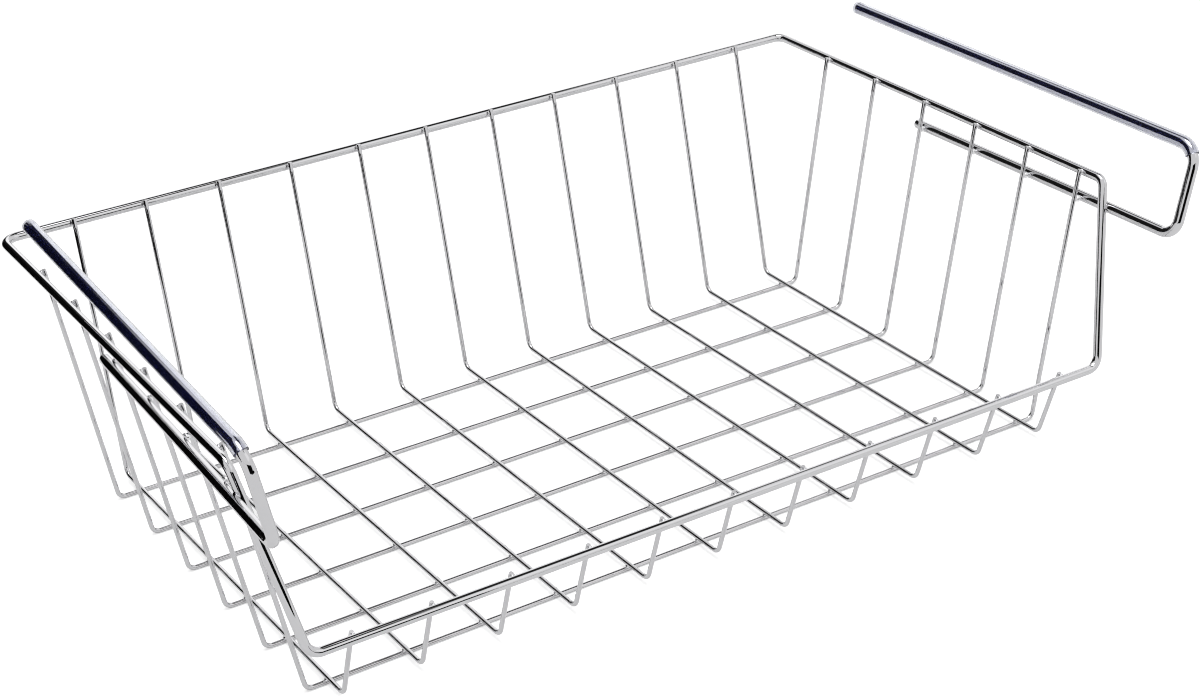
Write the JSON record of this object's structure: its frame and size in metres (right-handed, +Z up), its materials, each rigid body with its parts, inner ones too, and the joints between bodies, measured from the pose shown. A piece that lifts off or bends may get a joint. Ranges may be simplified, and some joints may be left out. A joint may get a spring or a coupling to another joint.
{
  "type": "under shelf basket",
  "caption": "Open-topped wire basket with a low front that hangs under a shelf board by two sleeved arms which reach back over the board.",
  "frame": {"origin": "under the middle of the whole object's box, on the surface that the cross wires stand on when the basket is put down", "axes": "+X across the basket to its right as seen from the front, +Y from the low front to the high back, +Z up"},
  "size_m": [0.4162, 0.26, 0.1369],
  "materials": {
    "rim_chrome": "bright plated steel wire",
    "depth_wire_chrome": "bright plated steel wire",
    "cross_wire_chrome": "bright plated steel wire",
    "left_arm_chrome": "bright plated steel wire",
    "right_arm_chrome": "bright plated steel wire",
    "left_sleeve_vinyl": "smooth vinyl sleeve",
    "right_sleeve_vinyl": "smooth vinyl sleeve"
  },
  "bodies": {
    "root": {"cross_wire_1": "cross_wire_chrome", "cross_wire_2": "cross_wire_chrome", "cross_wire_3": "cross_wire_chrome", "cross_wire_4": "cross_wire_chrome", "cross_wire_5": "cross_wire_chrome", "cross_wire_6": "cross_wire_chrome", "depth_wire_01": "depth_wire_chrome", "depth_wire_02": "depth_wire_chrome", "depth_wire_03": "depth_wire_chrome", "depth_wire_04": "depth_wire_chrome", "depth_wire_05": "depth_wire_chrome", "depth_wire_06": "depth_wire_chrome", "depth_wire_07": "depth_wire_chrome", "depth_wire_08": "depth_wire_chrome", "depth_wire_09": "depth_wire_chrome", "depth_wire_10": "depth_wire_chrome", "depth_wire_11": "depth_wire_chrome", "left_arm_sleeve": "left_sleeve_vinyl", "left_hanging_arm": "left_arm_chrome", "right_arm_sleeve": "right_sleeve_vinyl", "right_hanging_arm": "right_arm_chrome", "rim_frame": "rim_chrome"}
  },
  "joints": []
}
